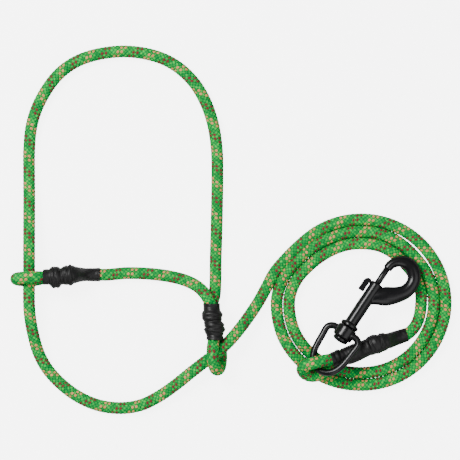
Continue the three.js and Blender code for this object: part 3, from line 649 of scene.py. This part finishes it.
class Look:
    def __init__(self, name, constants):
        self.material = bpy.data.materials.new(name)
        self.material.use_nodes = True
        self.tree = self.material.node_tree
        self.shader = self.tree.nodes["Principled BSDF"]
        for label, value in constants.items():
            self.shader.inputs[label].default_value = value

    def node(self, kind, settings=None, values=(), output=0):
        made = self.tree.nodes.new(kind)
        for label, value in (settings or {}).items():
            setattr(made, label, value)
        for label, value in (values.items() if isinstance(values, dict) else enumerate(values)):
            self.feed(made.inputs[label], value)
        return Signal(self, made.outputs[output])

    def feed(self, socket, value):
        if isinstance(value, Signal):
            self.tree.links.new(value.socket, socket)
        else:
            socket.default_value = value

    def mix(self, share, a, b):
        return self.node("ShaderNodeMix", {"data_type": "RGBA"}, {0: share, 6: a, 7: b}, 2)

    def uv(self, layer):
        place = self.node("ShaderNodeUVMap", {"uv_map": layer})
        return [self.node("ShaderNodeSeparateXYZ", None, [place], k) for k in (0, 1)]

    def point(self):
        return self.node("ShaderNodeTexCoord", None, (), 3)

    def noise(self, scale, detail=2.0, where=None, rough=0.5):
        inputs = {"Vector": where or self.point(), "Scale": scale, "Detail": detail, "Roughness": rough}
        return self.node("ShaderNodeTexNoise", None, inputs)

    def vector(self, x, y, z):
        return self.node("ShaderNodeCombineXYZ", None, [x, y, z])

    def bump(self, height, distance, strength=1.0):
        values = {"Height": height, "Distance": distance, "Strength": strength}
        self.feed(self.shader.inputs["Normal"], self.node("ShaderNodeBump", None, values))

    def set(self, label, value):
        self.feed(self.shader.inputs[label], value)


ropeColours = {
    "green": (0.001, 0.53, 0.088, 1), "deep": (0.0006, 0.35, 0.064, 1), "lime": (0.32, 1, 0.06, 1),
    "shade": (0.0005, 0.085, 0.022, 1), "tan": (0.9, 0.44, 0.17, 1), "brown": (0.24, 0.052, 0.045, 1),
}


def ropeLook():
    look = Look("braidedRope", {"Specular IOR Level": 0.06})
    turn, rise = look.uv("lay")
    a = turn + rise
    b = turn - rise
    i = a.floor()
    j = b.floor()
    over = ((i + j) % 2.0) < 0.5
    under = 1.0 - over
    across = over * (a - i) + under * (b - j)
    lengthwise = over * (b - j) + under * (a - i)
    off = (across - 0.5) * braid["bow"]
    reach = (lengthwise - 0.5) * braid["draw"]
    crest = (1.0 - off * off - reach * reach).root()
    # flecks: two carriers of brown, two green, two tan, two green
    carrier = i % 8.0
    proud = over * (crest > 0.55)
    brown = proud * (carrier < 1.5)
    tan = proud * (carrier > 3.5) * (carrier < 5.5)
    # filaments lie along each yarn
    wander = look.noise(0.9, 2.0, look.vector(turn, rise, 0.0))
    filament = ((across * 4.0 + wander * 1.6) * 6.2832).sine() * 0.5 + 0.5
    yarn = look.node("ShaderNodeTexWhiteNoise", {"noise_dimensions": "3D"}, {"Vector": look.vector(i, j, over)})
    # painted highlight: a lime streak along the crest of every yarn
    highlightStreak = (1.0 - off * off * 3.2) * (1.0 - reach * reach * 1.2)
    light = highlightStreak * 1.3 + filament * 0.35 + yarn * 0.5 - 1.3
    green = look.mix(yarn, ropeColours["deep"], ropeColours["green"])
    green = look.mix(light, green, ropeColours["lime"])
    # painted shade in the gaps between yarns, where the crest falls away
    green = look.mix(0.7 - crest * 1.8, green, ropeColours["shade"])
    base = look.mix(brown, green, ropeColours["brown"])
    base = look.mix(tan, base, ropeColours["tan"])
    # painted shade where turns lie against each other: the base colour is darkened by an occlusion reading
    paintedShadeOcclusion = look.node("ShaderNodeAmbientOcclusion", {"samples": 6}, {"Distance": 0.005}, 1)
    toneAndPaintedShade = (0.82 + yarn * 0.2 + filament * 0.14) * (paintedShadeOcclusion * 1.9 + 0.05).least(1.0)
    shaded = look.node("ShaderNodeVectorMath", {"operation": "SCALE"}, {0: base, 3: toneAndPaintedShade})
    look.set("Base Color", shaded)
    look.set("Roughness", 0.5 + filament * 0.2)
    fibre = look.noise(900.0, 2.0)
    look.bump(crest * 0.5 + filament * 0.16 + fibre * 0.12, 0.0006, 0.8)
    return look.material


ropeMaterial = ropeLook()
for piece in (neck, noseband, leftEye, rightEye, lead, snapBight):
    piece.data.materials.append(ropeMaterial)
print("rope material made")


def sleeveLook():
    look = Look("shrinkTube", {"Specular IOR Level": 0.4})
    grain = look.noise(2600.0, 2.0)
    cloud = look.noise(160.0, 3.0)
    look.set("Roughness", 0.34 + cloud * 0.16 + grain * 0.05)
    look.set("Base Color", look.mix(cloud, (0.004, 0.004, 0.0044, 1), (0.0085, 0.008, 0.0085, 1)))
    look.bump(cloud * 0.7 + grain * 0.12, 0.0005, 0.45)
    return look.material


def snapLook():
    look = Look("blackSnap", {"Specular IOR Level": 0.42})
    grain = look.noise(1500.0, 3.0)
    cloud = look.noise(120.0, 2.0)
    rub = look.noise(420.0, 4.0, None, 0.7)
    worn = (rub > 0.66) * 0.5
    look.set("Base Color", look.mix(worn, (0.0035, 0.0035, 0.0044, 1), (0.014, 0.0125, 0.012, 1)))
    look.set("Roughness", 0.2 + cloud * 0.1 + worn * 0.2)
    look.bump(grain * 0.35 + cloud * 0.5, 0.00018, 0.35)
    return look.material


def metalLook(name, tint, rough):
    look = Look(name, {"Metallic": 1.0})
    drawn = look.noise(900.0, 3.0)
    look.set("Base Color", look.mix(drawn, tint, tuple(v * 0.7 for v in tint[:3]) + (1,)))
    look.set("Roughness", rough + drawn * 0.18)
    look.bump(drawn, 0.0001, 0.3)
    return look.material


tubeMaterial = sleeveLook()
for piece in sleevePieces:
    piece.data.materials.append(tubeMaterial)
snapMaterial = snapLook()
for piece in (snapBody, swivelEye, swivelRivet, boltRodPiece, thumbTab):
    piece.data.materials.append(snapMaterial)
crimpMaterial = metalLook("crimpedAluminium", (0.62, 0.63, 0.65, 1), 0.3)
for piece in crimpPieces:
    piece.data.materials.append(crimpMaterial)
spring = nodes["bolt_spring"]
spring.data.materials.clear()
spring.data.materials.append(metalLook("springWire", (0.7, 0.7, 0.72, 1), 0.22))
print("sleeve, snap and metal materials made")


# points along the neck, noseband and lead cords, taken and not kept


def pathOf(first, last):
    return (line[first:last + 1:4] * mm).tolist() + [(line[last] * mm).tolist()]


pathOf(*cuts["neck"])
pathOf(*cuts["noseband"])
pathOf(*cuts["lead"])


# floor: a lit white sheet that the camera sees, and a plain pale one just under it that lights the rope
def addFloor(name, height, finish):
    mesh = bpy.data.meshes.new(name)
    mesh.from_pydata([(-3, -3, height), (3, -3, height), (3, 3, height), (-3, 3, height)], [], [(0, 1, 2, 3)])
    floor = intoScene(bpy.data.objects.new(name, mesh))
    mesh.materials.append(Look(name, finish).material)
    return floor


white = (1, 1, 1, 1)
sheet = addFloor("whiteSheet", -0.0002, {
    "Base Color": (0.9, 0.9, 0.9, 1), "Roughness": 0.9, "Emission Color": white, "Emission Strength": 5.5})
sheet.visible_diffuse = False
sheet.visible_glossy = False
sheet.visible_shadow = False
addFloor("paleFloor", -0.0003, {"Base Color": (0.7, 0.7, 0.7, 1), "Roughness": 0.9})

lamps = [
    {"name": "key", "at": (-1.0, 0.85, 1.9), "size": 0.85, "power": 50},
    {"name": "fill", "at": (1.3, -0.4, 1.7), "size": 1.6, "power": 11},
    {"name": "front", "at": (0.1, -1.5, 1.5), "size": 1.4, "power": 9},
]
for lamp in lamps:
    data = bpy.data.lights.new(lamp["name"], "AREA")
    data.size = lamp["size"]
    data.energy = lamp["power"]
    light = intoScene(bpy.data.objects.new(lamp["name"], data))
    light.location = lamp["at"]
    light.rotation_euler = (Vector((0.09, 0, 0)) - Vector(lamp["at"])).to_track_quat("-Z", "Y").to_euler()
world = bpy.data.worlds.new("studio")
world.use_nodes = True
backdrop = world.node_tree.nodes["Background"]
backdrop.inputs["Color"].default_value = white
backdrop.inputs["Strength"].default_value = 0.22
bpy.context.scene.world = world
print("floor and lamps set")
